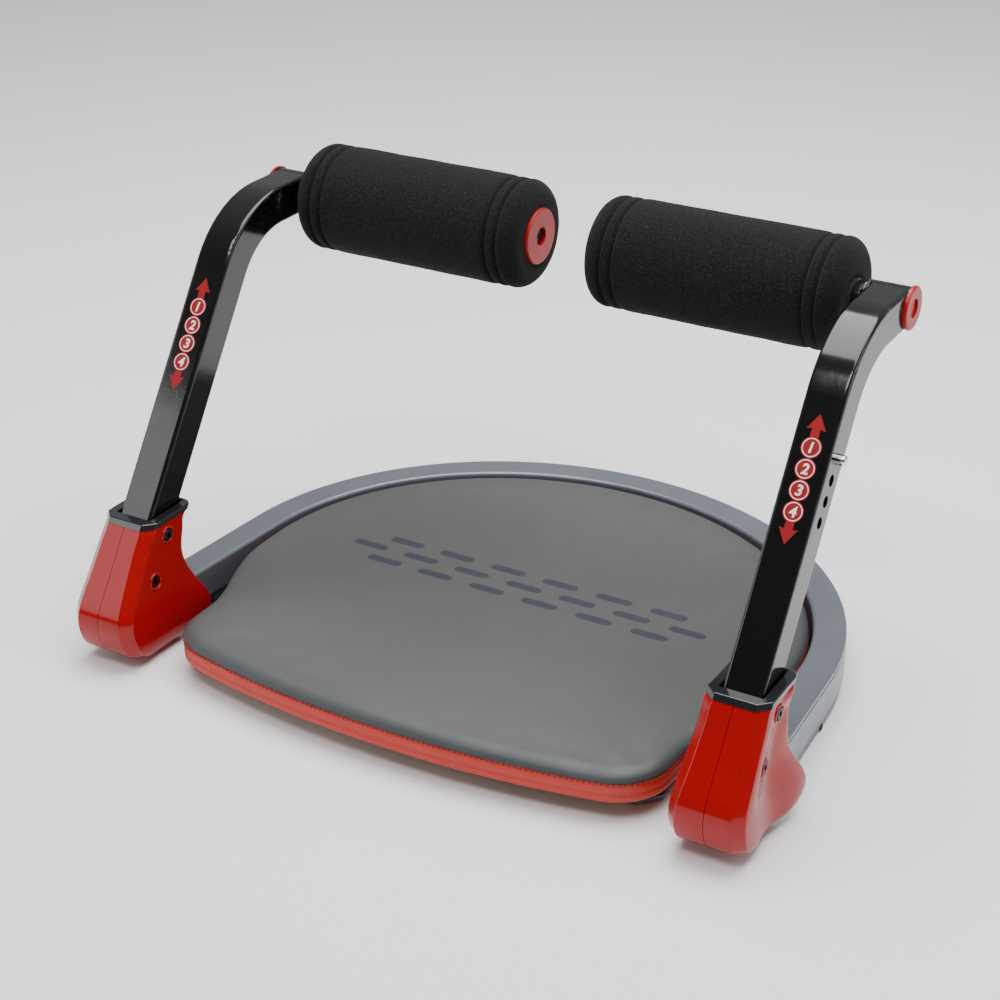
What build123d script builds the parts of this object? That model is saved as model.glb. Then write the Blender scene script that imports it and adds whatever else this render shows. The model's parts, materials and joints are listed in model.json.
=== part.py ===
"""Ab crunch machine: a low ring base with a padded seat, two sprung swing arms with sliding
height adjustment, and two foam back rollers.

Row frame, millimetres: +Z up from the floor, +Y towards the back of the machine, X across it.
The origin is on the floor, under the middle of the bounding box. The user sits on the pad with
the legs over its front edge (-Y) and the back against the rollers.
Right-hand pieces are modelled at +X and mirrored for the left.
"""
from build123d import *
from math import cos, degrees, radians, sin
import os

os.makedirs("parts", exist_ok=True)

# ---- driving dimensions ------------------------------------------------------------------
SIDE_X = 257.5            # middle plane of each arm
PIVOT_Y, PIVOT_Z = -153.0, 28.0
ARM_Y, ARM_Z = -153.5, 101.7   # point on the arm's centreline where it leaves the boot
LEAN = 34.0               # arm's lean back from vertical, degrees
TUBE = 30.0               # square arm tube, outside
TUBE_WALL = 2.0
INNER_TUBE = 25.0         # fixed square tube that the arm tube slides on
HOLE_PITCH = 15.0         # height settings 1 to 4
HOLE_COUNT = 4
HOLE_R = 4.25
TOP_HOLE = 170.0          # along the arm from the ARM point
ARM_LOW_END = -50.0       # lower end of the arm tube, along the arm
INNER_LOW_END, INNER_TOP_END = -84.0, 203.0
ROLLER_Y, ROLLER_Z = 66.0, 309.5
ROLLER_R = 43.0
ROLLER_INNER_X, ROLLER_OUTER_X = 28.5, 231.0
BEND_R = 77.0             # centreline radius of the arm's bend

RING_Y = -19.0            # centre of the elliptical rear of the base
RING_A, RING_B = 262.0, 243.0
RING_WIDTH = 26.0
RING_TOP = 40.0
RING_FRONT = -133.0
RING_SPLAY = 0.0636       # outward run of the ring's straight sides, per mm forward
SPLIT_Z = 10.0            # joint between the top shell and the tray
TRAY_BOTTOM = 2.0
TRAY_FLOOR = 5.0
WALL = 3.0
FOOT_TOP = 4.0
RING_EDGE_R = 2.6
LINE_Z0, LINE_Z1, LINE_DEPTH = 34.6, 35.9, 1.2   # shadow line under the ring's top edge
# The tray's plan in front of the ring's inner edge, right half
TRAY_CORNERS = ((214.0, -110.0), (200.0, -128.0), (200.0, -160.0), (186.0, -176.0), (0.0, -176.0))
RIB_HALF = 1.5
LONG_RIB_X, LONG_RIB_Y = 70.0, 170.0
CROSS_RIBS = ((-30.0, 200.0), (40.0, 190.0), (120.0, 150.0))   # y and half length

SEAT_FRONT_Y = -224.0
SEAT_BOTTOM, SEAT_TOP = 17.0, 43.0
BOARD_THICK = 9.0
SEAT_GAP = 3.0            # between the pad and the ring
RIB_TOP = SEAT_BOTTOM - 0.5
COVER = 7.0               # foam and cover round the board's edge
SEAT_BOW = 4.3            # how far the front edge bows back between middle and corner
SEAT_BOW_X = 88.0
SEAT_CORNER = ((172.0, -206.0), (198.0, -190.0), (207.0, -166.0))
SEAT_WAIST = ((208.5, -134.0), (221.0, -97.0), (231.5, -62.0))
CORNER_IN, CORNER_OUT, WAIST_OUT = (1, 0.19), (0.03, 1), (0, 1)   # directions of the seat's edge

SCREW_R = 2.5             # all the base's and boots' screws
HEAD_R = 4.5
HEAD_HEIGHT, HEAD_ROOM = 2.6, 3.0
HEX_R, HEX_DEPTH = 2.0, 1.6
SHELL_SCREW_LENGTH, SEAT_SCREW_LENGTH = 12.0, 19.0
SHELL_BOSS_R, TRAY_BOSS_R, PILLAR_R = 6.0, 7.0, 8.0
SEAT_SCREWS = [(x, y) for x in (-130.0, 130.0) for y in (-120.0, 80.0)]
SHELL_SCREW_INSET = 31.0  # from the ring's outer edge
SHELL_SCREWS = [
    (
        (RING_A - SHELL_SCREW_INSET) * cos(radians(angle)),
        RING_Y + (RING_B - SHELL_SCREW_INSET) * sin(radians(angle)),
    )
    for angle in (4, 40, 72, 108, 140, 176)
]
FOOT_R = 9.0
FEET = [(x, y) for x in (-253.5, 253.5) for y in (-95.0, -20.0)]
FEET += [(-178.0, 144.0), (178.0, 144.0), (0.0, 211.0), (-120.0, -150.0), (120.0, -150.0)]

FRAME_Z, FRAME_R = 22.0, 7.9      # bent steel tube inside the ring
FRAME_WALL = 1.8
BLOCK_END_Y = -110.0              # where the pivot block meets the frame tube
BEAM_Y0, BEAM_Y1 = -104.0, -66.0
BEAM_Z0, BEAM_Z1 = 5.2, 13.7
BEAM_END = 244.5
BEAM_ROOM = 0.4                   # between the cross beam and the notches it lies in

PIN_R = 6.0
PIN_X0, PIN_X1 = 232.6, 280.0
PIN_HEAD_R, PIN_HEAD_X0, PIN_HEAD_X1 = 9.5, 277.2, 280.4
NUT_R, NUT_X, NUT_THICK = 9.5, 232.0, 5.6
EAR_HALF = 14.0           # half width of the pivot block's ears
EAR = 5.0
EAR_R = 14.0
BLOCK_BACK_Y, BLOCK_Z0, BLOCK_Z1 = -128.0, 12.0, 37.0
TAIL = ((-9.5, 7.0), (-134.2, BLOCK_END_Y - 0.8), (12.0, 34.0))   # from SIDE_X, y and z
YOKE_GAP = 31.5           # between the yoke's plates
YOKE_PLATE = 3.5
YOKE_EYE_R, YOKE_HALF, YOKE_TOP, WELD_TOP = 12.0, 9.0, -2.0, -56.0
BUSH_R, FLANGE_R = 7.5, 10.5

# Horizontal sections of the boot, bottom to top: height, front y, back y,
# inner x at front and back, outer x at front and back, depth of the outer flute, rear corner radius
BOOT_SECTIONS = (
    (9.0, -203.0, -134.0, 229.0, 227.0, 283.0, 286.0, 3.0, 2.0),
    (13.0, -210.0, -127.5, 228.0, 225.5, 284.5, 289.0, 3.5, 2.0),
    (22.0, -216.5, -120.5, 227.5, 224.0, 285.0, 290.5, 4.0, 2.0),
    (34.0, -220.0, -122.0, 228.0, 225.5, 285.0, 289.5, 4.2, 2.0),
    (46.0, -219.0, -128.5, 229.0, 228.5, 284.5, 286.5, 4.0, 2.5),
    (58.0, -212.5, -134.5, 230.5, 231.0, 283.8, 283.7, 3.4, 3.5),
    (70.0, -204.1, -138.0, 231.7, 232.4, 283.0, 282.9, 2.8, 5.0),
    (83.0, -195.4, -137.0, 232.7, 233.2, 282.3, 282.2, 2.0, 6.5),
    (96.0, -186.6, -132.5, 233.4, 233.7, 281.6, 281.6, 1.0, 7.5),
    (108.0, -178.5, -125.0, 234.0, 234.0, 281.0, 281.0, 0.0, 8.0),
)
BOOT_WALL = 2.5
CHAMFER = 8.0             # front corners of the boot
PART_LINE = 0.4           # width of the line where the boot's halves meet
BOOT_SCREWS = (-5.5, -43.0)   # along the arm
SCREW_SEATS = (235.0, 280.0)  # x of the faces under the boot's screw heads
RECESS_R, BOSS_R = 5.5, 6.5
BOOT_HEAD_R, BOOT_HEAD_HEIGHT = 4.6, 2.4
# The boot's open back, bottom to top: height, inner x, outer x
BOOT_MOUTH = (
    (0.0, 230.5, 283.5), (13.0, 228.6, 286.0), (22.0, 227.2, 287.4), (34.0, 228.6, 286.5),
    (46.0, 231.6, 283.6), (58.0, 234.0, 280.8), (62.0, 234.8, 280.2),
)

COLLAR_BOTTOM, COLLAR_TOP = BOOT_SECTIONS[-1][0], 113.0
IN_X, OUT_X = 200.0, 300.0     # clear of an arm on either side, for cuts right through it

CROSS_R = 15.0            # sleeve across the arm's end
CROSS_IN, CROSS_OUT = 238.0, SIDE_X + TUBE / 2
AXLE_R = 8.0
BOLT_R, BOLT_END_X = 3.0, 52.0
BOLT_HEAD_R, BOLT_HEAD, BOLT_WASHER_R, BOLT_WASHER = 6.4, 3.4, 9.4, 1.2
PLUG_R = 12.0
PLUG_HEAD_R, PLUG_HEAD, PLUG_INNER_X = 16.2, 3.0, 262.0
DISH_R, DISH_FLOOR = 7.0, 1.2
WASHER_R, WASHER_X = 13.0, 232.6
AXLE_INNER_X = 34.0
CORE_R = 14.0             # rigid sleeve inside the foam
CORE_INNER_X = 35.5
CAP_R, CAP_FLANGE, CAP_BORE_R, CAP_ROOM_R = 22.0, 2.5, 7.2, 10.0
GROOVES = (16.0, 25.5)    # the foam's grooves, from each end
GROOVE_HALF, GROOVE_DEPTH = 1.4, 2.2
FOAM_END_R = 13.0

BUTTON_R, BUTTON_X0, BUTTON_X1, DOME_R = 4.0, 262.0, 279.5, 2.6
FLANGE_X0, FLANGE_X1, BUTTON_FLANGE_R = 261.4, 263.4, 4.6
SPRING_LINE = ((0, 0), (26, -3.2), (29, -4.4), (26, -5.6), (0, -7.4))   # the folded leaf
LEAF, LEAF_HALF = 0.8, 4.0     # its thickness and half its width

ALONG = Vector(0, sin(radians(LEAN)), cos(radians(LEAN)))      # up the arm
ACROSS = Vector(0, cos(radians(LEAN)), -sin(radians(LEAN)))    # square to it, to the back


def arm_point(along, across=0.0, x=SIDE_X):
    """A point in the arm's own directions, from where its centreline leaves the boot."""
    return Vector(x, ARM_Y, ARM_Z) + ALONG * along + ACROSS * across


def arm_box(low, high, size_x, size_across, x=SIDE_X):
    """A box along the arm between two distances, centred on its centreline."""
    plane = Plane(arm_point(low, 0, x), x_dir=(1, 0, 0), z_dir=ALONG)
    return plane * Box(size_x, size_across, high - low, align=(Align.CENTER, Align.CENTER, Align.MIN))


def x_cylinder(radius, x0, x1, y, z):
    """A cylinder along X between two values."""
    plane = Plane((x0, y, z), x_dir=(0, 1, 0), z_dir=(1, 0, 0))
    return plane * Cylinder(radius, x1 - x0, align=(Align.CENTER, Align.CENTER, Align.MIN))


def x_ring(outer, inner, x0, x1, y, z):
    """A tube or washer along X."""
    return x_cylinder(outer, x0, x1, y, z) - x_cylinder(inner, x0 - 1, x1 + 1, y, z)


def z_cylinder(radius, z0, z1, x, y):
    return Pos(x, y, z0) * Cylinder(radius, z1 - z0, align=(Align.CENTER, Align.CENTER, Align.MIN))


def corner_box(x0, x1, y0, y1, z0, z1):
    return Pos(x0, y0, z0) * Box(x1 - x0, y1 - y0, z1 - z0, align=(Align.MIN, Align.MIN, Align.MIN))


def side_plate(points, x0, x1):
    """A plate with an outline in Y and Z, from x0 to x1."""
    outline = Plane((x0, 0, 0), x_dir=(0, 1, 0), z_dir=(1, 0, 0)) * Polygon(*points, align=None)
    return extrude(outline, x1 - x0)


def both(shape):
    """The shape and its mirror image, as one group of solids."""
    return Compound(children=[*shape.solids(), *mirror(shape, about=Plane.YZ).solids()])


# ---- base --------------------------------------------------------------------------------
def ring_edge(inset, front):
    """Half outline of the ring at a distance inside its outer edge: a splayed straight side,
    then a quarter of an ellipse to the back. Returned as edges from front to back."""
    a, b = RING_A - inset, RING_B - inset
    splay = RING_SPLAY
    turn = splay * b / a
    start = (a * cos(turn), RING_Y + b * sin(turn))
    side = Line((start[0] + splay * (start[1] - front), front), start)
    rear = EllipticalCenterArc((0, RING_Y), a, b, start_angle=degrees(turn), arc_size=90 - degrees(turn))
    return [side, rear]


def ring_face(outer_inset, inner_inset, front=RING_FRONT):
    """The ring's plan between two insets, both halves."""
    outer, inner = ring_edge(outer_inset, front), ring_edge(inner_inset, front)
    cap = Line(outer[0] @ 0, inner[0] @ 0)
    mid = Line(outer[1] @ 1, inner[1] @ 1)
    half = make_face([*outer, mid, *inner, cap])
    return half + mirror(half, about=Plane.YZ)


def prism(face, z0, z1):
    return Pos(0, 0, z0) * extrude(face, z1 - z0, dir=(0, 0, 1))


def beam_room(z0, z1):
    """The space the cross beam lies in."""
    reach = BEAM_END + BEAM_ROOM
    return corner_box(-reach, reach, BEAM_Y0 - BEAM_ROOM, BEAM_Y1 + BEAM_ROOM, z0, z1)


def base_ring_shell():
    """Top half of the ring: an inverted channel with a shadow groove under its top edge."""
    shell = prism(ring_face(0, RING_WIDTH), SPLIT_Z, RING_TOP)
    shell = fillet(shell.faces().sort_by(Axis.Z)[-1].edges(), RING_EDGE_R)
    hollow = prism(ring_face(WALL, RING_WIDTH - WALL, RING_FRONT - 1), SPLIT_Z - 1, RING_TOP - WALL)
    groove = prism(ring_face(-2, LINE_DEPTH, RING_FRONT - 1), LINE_Z0, LINE_Z1)
    shell -= hollow
    shell -= groove
    for x, y in SHELL_SCREWS:
        shell += z_cylinder(SHELL_BOSS_R, SPLIT_Z, RIB_TOP, x, y)
        shell -= z_cylinder(SCREW_R, SPLIT_Z - 1, SPLIT_Z + 5, x, y)
    return shell - beam_room(SPLIT_Z - 1, BEAM_Z1 + BEAM_ROOM)


def base_tray():
    """Floor of the base: the ring's lower edge, a ribbed plate under the seat and seat pillars."""
    edge = prism(ring_face(1.0, RING_WIDTH + 4), TRAY_BOTTOM, SPLIT_Z)
    edge -= prism(ring_face(WALL + 1, RING_WIDTH + 1, RING_FRONT - 1), TRAY_FLOOR, SPLIT_Z + 1)
    rear = ring_edge(RING_WIDTH, TRAY_CORNERS[0][1])
    plan = Polyline(rear[0] @ 0, *TRAY_CORNERS)
    middle = Line(TRAY_CORNERS[-1], rear[1] @ 1)
    half = make_face([*rear, *plan.edges(), middle])
    tray = edge + prism(half + mirror(half, about=Plane.YZ), TRAY_BOTTOM, TRAY_FLOOR)
    for x in (-LONG_RIB_X, LONG_RIB_X):
        for y0, y1 in ((-LONG_RIB_Y, BEAM_Y0 - 1), (BEAM_Y1 + 1, LONG_RIB_Y)):
            tray += corner_box(x - RIB_HALF, x + RIB_HALF, y0, y1, TRAY_FLOOR, RIB_TOP)
    for y, reach in CROSS_RIBS:
        tray += corner_box(-reach, reach, y - RIB_HALF, y + RIB_HALF, TRAY_FLOOR, RIB_TOP)
    for x, y in SEAT_SCREWS:
        tray += z_cylinder(PILLAR_R, TRAY_BOTTOM, SEAT_BOTTOM, x, y)
        tray -= z_cylinder(SCREW_R, TRAY_BOTTOM - 1, SEAT_BOTTOM + 1, x, y)
        tray -= z_cylinder(HEAD_R, TRAY_BOTTOM - 1, TRAY_BOTTOM + HEAD_ROOM, x, y)
    for x, y in SHELL_SCREWS:
        tray += z_cylinder(TRAY_BOSS_R, TRAY_BOTTOM, SPLIT_Z, x, y)
        tray -= z_cylinder(SCREW_R, TRAY_BOTTOM - 1, SPLIT_Z + 1, x, y)
        tray -= z_cylinder(HEAD_R, TRAY_BOTTOM - 1, TRAY_BOTTOM + HEAD_ROOM, x, y)
    for x, y in FEET:
        tray -= z_cylinder(FOOT_R, TRAY_BOTTOM - 1, FOOT_TOP, x, y)
    return tray - beam_room(TRAY_FLOOR, SPLIT_Z + 1)


def rubber_feet():
    feet = [z_cylinder(FOOT_R, 0, FOOT_TOP, x, y) for x, y in FEET]
    return Compound(children=[fillet(f.faces().sort_by(Axis.Z)[0].edges(), 1.0).solid() for f in feet])


def screw_up(x, y, z0, length):
    """A countersunk-socket screw pointing up, its head in a counterbore."""
    screw = z_cylinder(HEAD_R - 0.3, z0, z0 + HEAD_HEIGHT, x, y) + z_cylinder(SCREW_R, z0, z0 + length, x, y)
    socket = Pos(x, y, z0) * extrude(RegularPolygon(HEX_R, 6), HEX_DEPTH, dir=(0, 0, 1))
    return (screw - socket).solid()


def screw_group(places, length):
    return Compound(children=[screw_up(x, y, TRAY_BOTTOM + 0.4, length) for x, y in places])


def frame_tube():
    """Steel tube bent round inside the ring, welded to the pivot blocks at its front ends."""
    path = Pos(0, 0, FRAME_Z) * Wire(ring_edge(RING_WIDTH / 2, BLOCK_END_Y))
    start = Plane(path @ 0, z_dir=path % 0)
    half = sweep(start * Circle(FRAME_R), path) - sweep(start * Circle(FRAME_R - FRAME_WALL), path)
    return half + mirror(half, about=Plane.YZ)


def cross_beam():
    """Flat steel tube across the base, welded under the bent frame tube."""
    w = FRAME_WALL
    beam = corner_box(-BEAM_END, BEAM_END, BEAM_Y0, BEAM_Y1, BEAM_Z0, BEAM_Z1)
    return beam - corner_box(-BEAM_END - 1, BEAM_END + 1, BEAM_Y0 + w, BEAM_Y1 - w, BEAM_Z0 + w, BEAM_Z1 - w)


def pivot_block():
    """Forked steel block on the front end of the frame: two ears with the spring between."""
    x0, x1 = SIDE_X - EAR_HALF, SIDE_X + EAR_HALF
    back = [(BLOCK_BACK_Y, BLOCK_Z0), (BLOCK_BACK_Y, BLOCK_Z1)]
    outline = [(PIVOT_Y, PIVOT_Z - EAR_R), *back, (PIVOT_Y, PIVOT_Z + EAR_R)]
    fork = side_plate(outline, x0, x1) + x_cylinder(EAR_R, x0, x1, PIVOT_Y, PIVOT_Z)
    pocket = corner_box(x0 + EAR, x1 - EAR, PIVOT_Y - 20, PIVOT_Y + 19, PIVOT_Z - 20, PIVOT_Z + 20)
    (tail_in, tail_out), tail_y, tail_z = TAIL
    tail = corner_box(SIDE_X + tail_in, SIDE_X + tail_out, *tail_y, *tail_z)
    block = fork - pocket - corner_box(IN_X, OUT_X, tail_y[0] + 0.8, -100, 0, 60) + tail
    return block - x_cylinder(PIN_R, IN_X, OUT_X, PIVOT_Y, PIVOT_Z)


def pivot_pin():
    """Headed pin through the block's ears and the yoke's plates, with a nut thread at its end."""
    pin = x_cylinder(PIN_R, PIN_X0, PIN_X1, PIVOT_Y, PIVOT_Z)
    head = x_cylinder(PIN_HEAD_R, PIN_HEAD_X0, PIN_HEAD_X1, PIVOT_Y, PIVOT_Z)
    return pin + fillet(head.faces().sort_by(Axis.X)[-1].edges(), 1.2)


def pivot_nut():
    plane = Plane((NUT_X, PIVOT_Y, PIVOT_Z), x_dir=(0, 1, 0), z_dir=(1, 0, 0))
    nut = plane * extrude(RegularPolygon(NUT_R, 6), NUT_THICK)
    return nut - x_cylinder(PIN_R, NUT_X - 1, NUT_X + NUT_THICK + 1, PIVOT_Y, PIVOT_Z)


def torsion_spring():
    """Return spring wound round the pivot pin, with a short leg each side."""
    wire, turns, mean, pitch = 3.2, 4, 10.2, 3.5
    x0 = SIDE_X - pitch * turns / 2
    coil = Helix(pitch=pitch, height=pitch * turns, radius=mean)
    place = Plane((x0, PIVOT_Y, PIVOT_Z), x_dir=(0, 0, 1), z_dir=(1, 0, 0))
    path = place * coil
    section = Plane(path @ 0, z_dir=path % 0) * Circle(wire / 2)
    spring = sweep(section, path, is_frenet=True)
    for end, sign in ((0, -1), (1, 1)):
        leg = Plane(path @ end, z_dir=(path % end) * sign)
        spring += leg * Cylinder(wire / 2, 5.0, align=(Align.CENTER, Align.CENTER, Align.MIN))
    return spring


def seat_outline(inset=0.0):
    """Half plan of the pad: bowed front, round front corner, waist beside the boots, round back."""
    a, b = RING_A - RING_WIDTH - SEAT_GAP - inset, RING_B - RING_WIDTH - SEAT_GAP - inset
    start, middle, end = SEAT_CORNER
    bow_end = (start[0] - inset / 3, start[1] + inset)
    corner_mid = (middle[0] - inset * 0.7, middle[1] + inset * 0.7)
    corner_end = (end[0] - inset, end[1])
    bow_mid = (SEAT_BOW_X, SEAT_FRONT_Y + SEAT_BOW + inset)
    front = ThreePointArc((0, SEAT_FRONT_Y + inset), bow_mid, bow_end)
    corner = Spline(bow_end, corner_mid, corner_end, tangents=(CORNER_IN, CORNER_OUT))
    sides = [(x - inset, y) for x, y in SEAT_WAIST]
    waist = Spline(corner_end, *sides, (a, RING_Y), tangents=(CORNER_OUT, WAIST_OUT))
    rear = EllipticalCenterArc((0, RING_Y), a, b, start_angle=0, arc_size=90)
    return [front, corner, waist, rear]


def seat_face(inset=0.0):
    edges = seat_outline(inset)
    half = make_face([*edges, Line(edges[-1] @ 1, edges[0] @ 0)])
    return half + mirror(half, about=Plane.YZ)


def seat_board():
    board = prism(seat_face(COVER), SEAT_BOTTOM, SEAT_BOTTOM + BOARD_THICK)
    for x, y in SEAT_SCREWS:
        board -= z_cylinder(SCREW_R, SEAT_BOTTOM - 1, SEAT_BOTTOM + BOARD_THICK - 2, x, y)
    return board


def seat_pad():
    """Foam and cover, wrapped over the board's edge."""
    pad = prism(seat_face(0.0), SEAT_BOTTOM, SEAT_TOP)
    pad = fillet(pad.faces().sort_by(Axis.Z)[-1].edges(), COVER)
    return pad - prism(seat_face(COVER), SEAT_BOTTOM - 1, SEAT_BOTTOM + BOARD_THICK)


# ---- swing arm: yoke, inner tube and boot --------------------------------------------------
def yoke():
    """Welded steel bracket: two plates from the pivot to the tube, a web and two weld pads."""
    low, high, half = INNER_LOW_END - 4, YOKE_TOP, YOKE_HALF
    eye = Pos(PIVOT_Y, PIVOT_Z) * Circle(YOKE_EYE_R)
    corners = [arm_point(*c) for c in ((low, -half), (low, half), (high, half), (high, -half))]
    stem = Polygon(*[(c.Y, c.Z) for c in corners], align=None)
    strap = make_hull([*eye.edges(), *stem.edges()])
    bracket = None
    for x0 in (SIDE_X - YOKE_GAP / 2 - YOKE_PLATE, SIDE_X + YOKE_GAP / 2):
        plate = extrude(Plane((x0, 0, 0), x_dir=(0, 1, 0), z_dir=(1, 0, 0)) * strap, YOKE_PLATE)
        plate -= x_cylinder(BUSH_R, x0 - 1, x0 + YOKE_PLATE + 1, PIVOT_Y, PIVOT_Z)
        bracket = plate if bracket is None else bracket + plate
    bracket += arm_box(low, INNER_LOW_END, YOKE_GAP, 2 * half)
    pad = (YOKE_GAP - INNER_TUBE) / 2
    for x in (SIDE_X - YOKE_GAP / 2 + pad / 2, SIDE_X + YOKE_GAP / 2 - pad / 2):
        bracket += arm_box(INNER_LOW_END, WELD_TOP, pad, 2 * half, x)
    for along in BOOT_SCREWS:
        point = arm_point(along)
        bracket -= x_cylinder(SCREW_R, IN_X, OUT_X, point.Y, point.Z)
    return bracket


def yoke_bushes():
    """Two flanged bushes that turn on the pin."""
    bushes = []
    for sign in (-1, 1):
        inside = SIDE_X + sign * (EAR_HALF + 0.35)
        plate_in = SIDE_X + sign * YOKE_GAP / 2
        outside = SIDE_X + sign * (YOKE_GAP / 2 + YOKE_PLATE)
        flange = x_cylinder(FLANGE_R, min(inside, plate_in), max(inside, plate_in), PIVOT_Y, PIVOT_Z)
        body = x_cylinder(BUSH_R, min(inside, outside), max(inside, outside), PIVOT_Y, PIVOT_Z)
        bushes.append((flange + body - x_cylinder(PIN_R + 0.05, IN_X, OUT_X, PIVOT_Y, PIVOT_Z)).solid())
    return Compound(children=bushes)


def inner_tube():
    """Square tube inside the arm; a slot open at its top clears the snap button."""
    tube = arm_box(INNER_LOW_END, INNER_TOP_END, INNER_TUBE, INNER_TUBE)
    tube -= arm_box(INNER_LOW_END - 1, INNER_TOP_END + 1, INNER_TUBE - 4, INNER_TUBE - 4)
    slot = arm_box(TOP_HOLE - 6, INNER_TOP_END + 1, 20, 9.6, SIDE_X + INNER_TUBE / 2)
    return tube - slot


def boot_section(z, y0, y1, xi0, xi1, xo0, xo1, flute, r, inset=0.0):
    """One closed section: chamfered front corners, a flute down the outer side behind the arm's
    centreline, and cheeks that spread towards the heel."""
    y0, y1 = y0 + inset, y1 - inset
    xi0, xi1, xo0, xo1 = xi0 + inset, xi1 + inset, xo0 - inset, xo1 - inset
    c = CHAMFER - inset * 0.6
    flank = y1 - (y0 + c)
    front = Polyline((xi0, y0 + c), (xi0 + c, y0), (xo0 - c, y0), (xo0, y0 + c))
    outer = Spline(
        (xo0, y0 + c),
        (xo0 + 0.3, y0 + c + flank * 0.16),
        ((xo0 + xo1) / 2 - flute, y0 + c + flank * 0.48),
        (xo1 - flute * 0.1, y0 + c + flank * 0.8),
        (xo1, y1),
    )
    inner = Spline((xi1, y1), ((xi0 * 2 + xi1) / 3 + 0.4, y0 + c + flank * 0.55), (xi0, y0 + c))
    face = make_face([*front.edges(), outer, Line((xo1, y1), (xi1, y1)), inner])
    face = fillet([v for v in face.vertices() if v.Y < y0 + c + 1], 2.0)
    rear = [v for v in face.vertices() if v.Y > y1 - 0.5]
    face = fillet(rear, max(r - inset * 0.5, 0.8))
    return Pos(0, 0, z) * face


def boot_body():
    """The boot as one hollow piece, before it is parted into two halves."""
    outside = loft([boot_section(*s) for s in BOOT_SECTIONS])
    floor_z = BOOT_SECTIONS[0][0] + BOOT_WALL
    lowest, *upper = [s for s in BOOT_SECTIONS if s[0] < floor_z or s[0] > floor_z + 2]
    inside = [boot_section(floor_z, *lowest[1:], inset=BOOT_WALL)]
    inside += [boot_section(*s, inset=BOOT_WALL) for s in upper]
    top, below = BOOT_SECTIONS[-1], BOOT_SECTIONS[-2]
    slope = (top[1] - below[1]) / (top[0] - below[0])
    inside.append(boot_section(top[0] + 4, top[1] + 4 * slope, top[2] + 2, *top[3:], inset=BOOT_WALL))
    boot = outside - loft(inside)
    mouth = [
        Pos(0, 0, z) * Polygon((x0, -145), (x1, -145), (x1, -90), (x0, -90), align=None)
        for z, x0, x1 in BOOT_MOUTH
    ]
    boot -= loft(mouth, ruled=True)
    plate = YOKE_GAP / 2 + YOKE_PLATE
    for along in BOOT_SCREWS:
        point = arm_point(along)
        boot += x_cylinder(BOSS_R, SIDE_X + plate, SCREW_SEATS[1] + 0.6, point.Y, point.Z)
        boot += x_cylinder(BOSS_R, SCREW_SEATS[0] - 0.6, SIDE_X - plate, point.Y, point.Z)
        boot -= x_cylinder(SCREW_R, IN_X, OUT_X, point.Y, point.Z)
        boot -= x_cylinder(RECESS_R, SCREW_SEATS[1], OUT_X, point.Y, point.Z)
        boot -= x_cylinder(RECESS_R, IN_X, SCREW_SEATS[0], point.Y, point.Z)
    return boot


def boot_half(body, inner):
    x0, x1 = (IN_X, SIDE_X - PART_LINE / 2) if inner else (SIDE_X + PART_LINE / 2, OUT_X)
    return body & corner_box(x0, x1, -240, -80, -5, 130)


def boot_screws():
    """Four socket screws that hold the two halves to the yoke's plates."""
    screws = []
    for along in BOOT_SCREWS:
        point = arm_point(along)
        for sign, seat in ((-1, SCREW_SEATS[0]), (1, SCREW_SEATS[1])):
            deep = SIDE_X + sign * (YOKE_GAP / 2 + 0.4)
            proud = seat + sign * BOOT_HEAD_HEIGHT
            head = x_cylinder(BOOT_HEAD_R, min(seat, proud), max(seat, proud), point.Y, point.Z)
            rim = head.faces().sort_by(Axis.X)[-1 if sign > 0 else 0].edges()
            head = fillet(rim, 0.8)
            shank = x_cylinder(SCREW_R, min(seat, deep), max(seat, deep), point.Y, point.Z)
            face = Plane((proud, point.Y, point.Z), x_dir=(0, 1, 0), z_dir=(sign, 0, 0))
            socket = face * Pos(0, 0, -HEX_DEPTH) * extrude(RegularPolygon(2.3, 6), 3)
            screws.append((head + shank - socket).solid())
    return Compound(children=screws)


def collar():
    """Glossy trim frame on the boot's top, with room for the tube to slide."""
    top = BOOT_SECTIONS[-1]
    lower = boot_section(COLLAR_BOTTOM, *top[1:], inset=-0.6)
    frame = extrude(lower, COLLAR_TOP - COLLAR_BOTTOM, dir=ALONG)
    frame = fillet(frame.faces().sort_by(Axis.Z)[-1].edges(), 1.2)
    return frame - arm_box(-30, 60, TUBE + 3.0, TUBE + 5.0)


# ---- sliding arm -----------------------------------------------------------------------------
def arm_path(low):
    corner_along = (ROLLER_Z - ARM_Z) / ALONG.Z
    corner = arm_point(corner_along)
    return FilletPolyline(arm_point(low), corner, Vector(SIDE_X, ROLLER_Y - 4.0, ROLLER_Z), radius=BEND_R)


def rounded_square(size, radius):
    return RectangleRounded(size, size, radius)


def arm_tube():
    """Bent square tube with height holes in its outer side."""
    path = arm_path(ARM_LOW_END)
    start = Plane(path @ 0, x_dir=(1, 0, 0), z_dir=path % 0)
    tube = sweep(start * rounded_square(TUBE, 3.0), path)
    bore = sweep(start * rounded_square(TUBE - 2 * TUBE_WALL, 1.0), path)
    tube = tube - bore - x_cylinder(CROSS_R, IN_X, OUT_X, ROLLER_Y, ROLLER_Z)
    for i in range(HOLE_COUNT):
        point = arm_point(TOP_HOLE - HOLE_PITCH * i)
        tube -= x_cylinder(HOLE_R, SIDE_X + 5, SIDE_X + 20, point.Y, point.Z)
    return tube


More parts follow.
